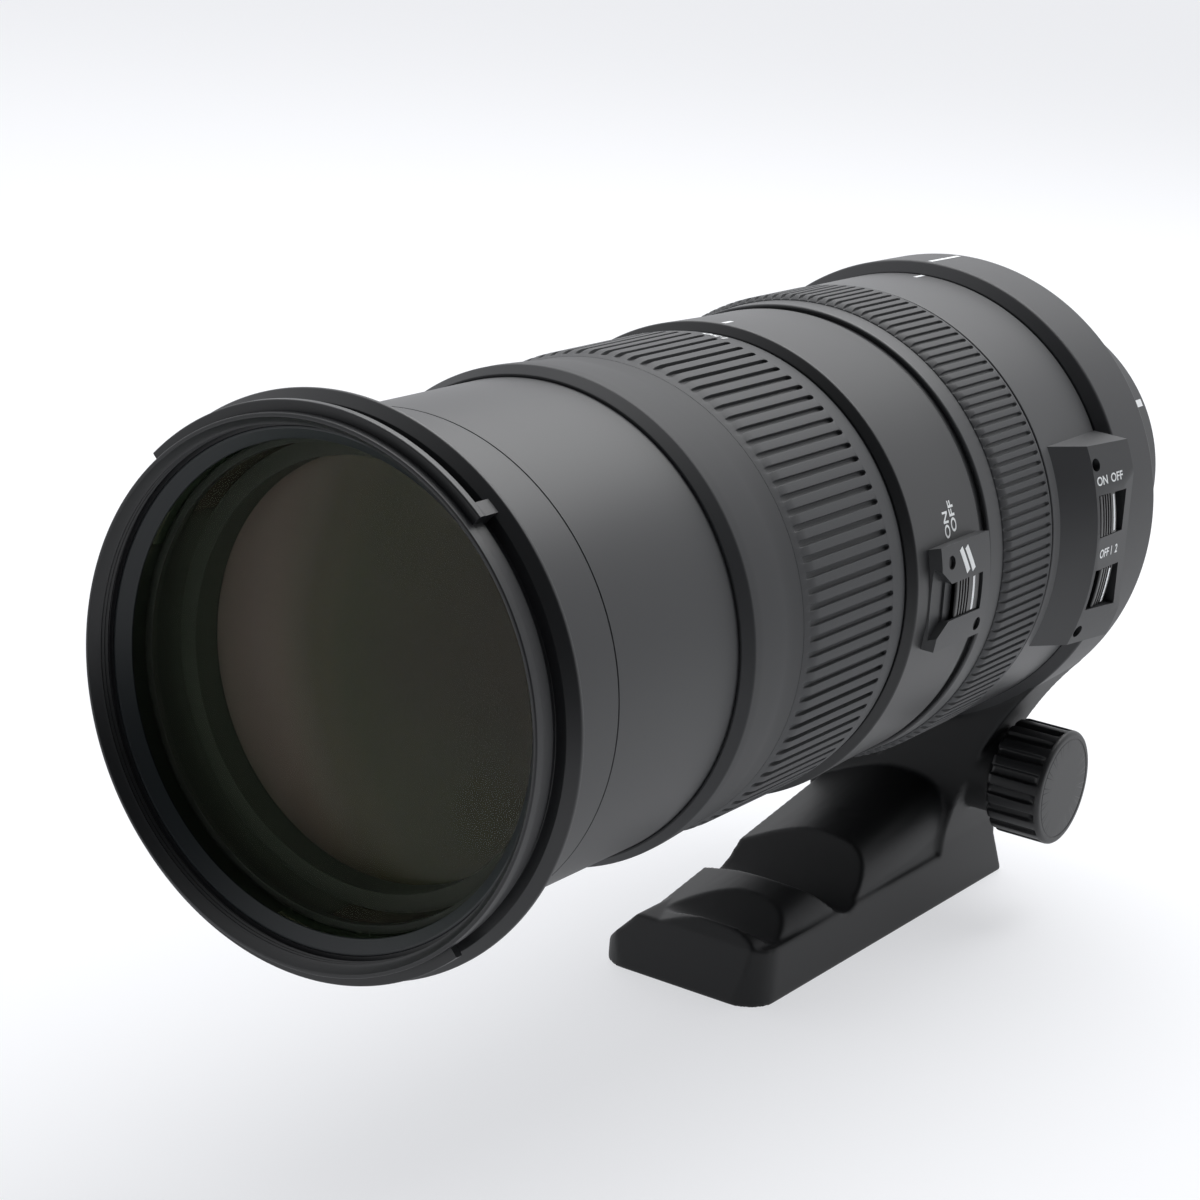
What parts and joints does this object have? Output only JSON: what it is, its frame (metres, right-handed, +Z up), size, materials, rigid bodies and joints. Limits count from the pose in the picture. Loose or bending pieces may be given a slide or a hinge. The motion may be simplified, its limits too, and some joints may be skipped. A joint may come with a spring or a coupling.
{
  "type": "telephoto zoom lens",
  "caption": "Telephoto zoom camera lens with zoom and focus rings, inner tube that slides out, lock and mode switches, bayonet mount and a turning tripod collar with foot.",
  "frame": {"origin": "centre of the camera-mount face, on the lens axis", "axes": "+Y along the lens axis towards the camera, -Y towards the subject, +Z up, +X the side with the switches and the clamp knob"},
  "size_m": [0.0991, 0.2575, 0.1354],
  "materials": {
    "satin_black_paint": "fine-grained satin black coating",
    "bezel_black": "smooth black resin",
    "collar_paint": "fine-grained satin black coating on a die casting",
    "grip_rubber": "ribbed dark rubber",
    "panel_plastic": "fine-grained black resin",
    "slider_plastic": "ribbed black resin",
    "knob_plastic": "moulded black resin",
    "black_screw": "blackened steel",
    "bright_steel": "machined steel",
    "mount_metal": "bright plated brass",
    "black_anodised": "black anodised",
    "cam_brass": "hard black anodised",
    "inner_resin": "glass-filled black resin",
    "iris_steel": "blackened spring steel",
    "coated_glass": "polished and coated",
    "retainer_metal": "satin grey-blue lacquer",
    "board_green": "lacquered circuit board",
    "contact_gold": "gold plated",
    "motor_metal": "ground steel"
  },
  "bodies": {
    "barrel": {"main_barrel": "satin_black_paint", "rear_barrel": "satin_black_paint", "guide_tube": "black_anodised", "lock_panel": "panel_plastic", "panel_screws": "black_screw", "switch_panel": "panel_plastic", "mount_plate": "mount_metal", "mount_screws": "bright_steel", "contact_block": "inner_resin", "contact_pins": "contact_gold", "rear_baffle": "inner_resin", "circuit_board": "board_green", "rear_cell": "black_anodised", "rear_element_1": "coated_glass", "rear_element_2": "coated_glass", "motor_stator": "motor_metal", "iris_base": "inner_resin", "stabiliser_base": "inner_resin"},
    "zoom_ring": {"zoom_sleeve": "satin_black_paint", "zoom_rubber": "grip_rubber", "cam_barrel": "cam_brass", "zoom_key": "bright_steel"},
    "front_barrel": {"front_tube": "satin_black_paint", "front_bezel": "bezel_black", "front_cell": "black_anodised", "front_retaining_ring": "retainer_metal", "front_element_1": "coated_glass", "front_element_2": "coated_glass", "front_element_3": "coated_glass", "cam_followers": "bright_steel"},
    "variator": {"variator_cell": "black_anodised", "variator_element_1": "coated_glass", "variator_element_2": "coated_glass"},
    "focus_ring": {"focus_sleeve": "satin_black_paint", "focus_rubber": "grip_rubber", "focus_link": "bright_steel", "focus_cam_ring": "cam_brass", "motor_rotor": "motor_metal"},
    "focus_group": {"focus_cell": "inner_resin", "focus_element_1": "coated_glass", "focus_element_2": "coated_glass"},
    "shift_carriage": {"stabiliser_carriage": "inner_resin"},
    "shift_cell": {"stabiliser_cell": "inner_resin", "stabiliser_element": "coated_glass"},
    "iris_drive": {"iris_ring": "iris_steel"},
    "collar": {"tripod_collar": "collar_paint"},
    "knob": {"clamp_knob": "knob_plastic", "clamp_stud": "bright_steel"},
    "zoom_lock": {"lock_slider": "slider_plastic"},
    "focus_mode": {"focus_mode_slider": "slider_plastic"},
    "stabiliser_mode": {"stabiliser_slider": "slider_plastic"},
    "blade_1": {"iris_blade_1": "iris_steel"},
    "blade_2": {"iris_blade_2": "iris_steel"},
    "blade_3": {"iris_blade_3": "iris_steel"},
    "blade_4": {"iris_blade_4": "iris_steel"},
    "blade_5": {"iris_blade_5": "iris_steel"},
    "blade_6": {"iris_blade_6": "iris_steel"},
    "blade_7": {"iris_blade_7": "iris_steel"},
    "blade_8": {"iris_blade_8": "iris_steel"},
    "blade_9": {"iris_blade_9": "iris_steel"}
  },
  "joints": [
    {"name": "zoom_turn", "type": "hinge", "parent": "barrel", "child": "zoom_ring", "pos_m": [0, -0.15, 0], "axis": [0, 1, 0], "range_deg": [0, 110]},
    {"name": "front_slide", "type": "slide", "parent": "barrel", "child": "front_barrel", "axis": [0, -1, 0], "range_m": [0, 0.08]},
    {"name": "variator_slide", "type": "slide", "parent": "barrel", "child": "variator", "axis": [0, -1, 0], "range_m": [0, 0.012]},
    {"name": "focus_turn", "type": "hinge", "parent": "barrel", "child": "focus_ring", "pos_m": [0, -0.09, 0], "axis": [0, -1, 0], "range_deg": [0, 100]},
    {"name": "focus_slide", "type": "slide", "parent": "barrel", "child": "focus_group", "axis": [0, -1, 0], "range_m": [0, 0.006]},
    {"name": "shift_across", "type": "slide", "parent": "barrel", "child": "shift_carriage", "axis": [1, 0, 0], "range_m": [-0.001, 0.001]},
    {"name": "shift_up", "type": "slide", "parent": "shift_carriage", "child": "shift_cell", "axis": [0, 0, 1], "range_m": [-0.001, 0.001]},
    {"name": "iris_turn", "type": "hinge", "parent": "barrel", "child": "iris_drive", "pos_m": [0, -0.0655, 0], "axis": [0, 1, 0], "range_deg": [0, 2.8]},
    {"name": "collar_turn", "type": "hinge", "parent": "barrel", "child": "collar", "pos_m": [0, -0.0455, 0], "axis": [0, 1, 0], "continuous": true},
    {"name": "knob_turn", "type": "hinge", "parent": "collar", "child": "knob", "pos_m": [0.0336, -0.045, -0.057], "axis": [1, 0, 0], "range_deg": [0, 360]},
    {"name": "zoom_lock_slide", "type": "slide", "parent": "barrel", "child": "zoom_lock", "axis": [0, -1, 0], "range_m": [0, 0.0024]},
    {"name": "focus_mode_slide", "type": "slide", "parent": "barrel", "child": "focus_mode", "axis": [0, 1, 0], "range_m": [0, 0.0024]},
    {"name": "stabiliser_mode_slide", "type": "slide", "parent": "barrel", "child": "stabiliser_mode", "axis": [0, 1, 0], "range_m": [-0.0022, 0.0022]},
    {"name": "blade_1_turn", "type": "hinge", "parent": "barrel", "child": "blade_1", "pos_m": [0.031, -0.07055, 0], "axis": [0, 1, 0], "range_deg": [0, 28]},
    {"name": "blade_2_turn", "type": "hinge", "parent": "barrel", "child": "blade_2", "pos_m": [0.02375, -0.0701, 0.01993], "axis": [0, 1, 0], "range_deg": [0, 28]},
    {"name": "blade_3_turn", "type": "hinge", "parent": "barrel", "child": "blade_3", "pos_m": [0.00538, -0.06965, 0.03053], "axis": [0, 1, 0], "range_deg": [0, 28]},
    {"name": "blade_4_turn", "type": "hinge", "parent": "barrel", "child": "blade_4", "pos_m": [-0.0155, -0.0692, 0.02685], "axis": [0, 1, 0], "range_deg": [0, 28]},
    {"name": "blade_5_turn", "type": "hinge", "parent": "barrel", "child": "blade_5", "pos_m": [-0.02913, -0.06875, 0.0106], "axis": [0, 1, 0], "range_deg": [0, 28]},
    {"name": "blade_6_turn", "type": "hinge", "parent": "barrel", "child": "blade_6", "pos_m": [-0.02913, -0.0683, -0.0106], "axis": [0, 1, 0], "range_deg": [0, 28]},
    {"name": "blade_7_turn", "type": "hinge", "parent": "barrel", "child": "blade_7", "pos_m": [-0.0155, -0.06785, -0.02685], "axis": [0, 1, 0], "range_deg": [0, 28]},
    {"name": "blade_8_turn", "type": "hinge", "parent": "barrel", "child": "blade_8", "pos_m": [0.00538, -0.0674, -0.03053], "axis": [0, 1, 0], "range_deg": [0, 28]},
    {"name": "blade_9_turn", "type": "hinge", "parent": "barrel", "child": "blade_9", "pos_m": [0.02375, -0.06695, -0.01993], "axis": [0, 1, 0], "range_deg": [0, 28]}
  ],
  "couplings": [
    {"joint": "front_slide", "follows": "zoom_turn", "m_per_rad": 0.04166},
    {"joint": "variator_slide", "follows": "zoom_turn", "m_per_rad": 0.00625},
    {"joint": "focus_slide", "follows": "focus_turn", "m_per_rad": 0.003437},
    {"joint": "blade_1_turn", "follows": "iris_turn", "ratio": 10},
    {"joint": "blade_2_turn", "follows": "iris_turn", "ratio": 10},
    {"joint": "blade_3_turn", "follows": "iris_turn", "ratio": 10},
    {"joint": "blade_4_turn", "follows": "iris_turn", "ratio": 10},
    {"joint": "blade_5_turn", "follows": "iris_turn", "ratio": 10},
    {"joint": "blade_6_turn", "follows": "iris_turn", "ratio": 10},
    {"joint": "blade_7_turn", "follows": "iris_turn", "ratio": 10},
    {"joint": "blade_8_turn", "follows": "iris_turn", "ratio": 10},
    {"joint": "blade_9_turn", "follows": "iris_turn", "ratio": 10}
  ]
}
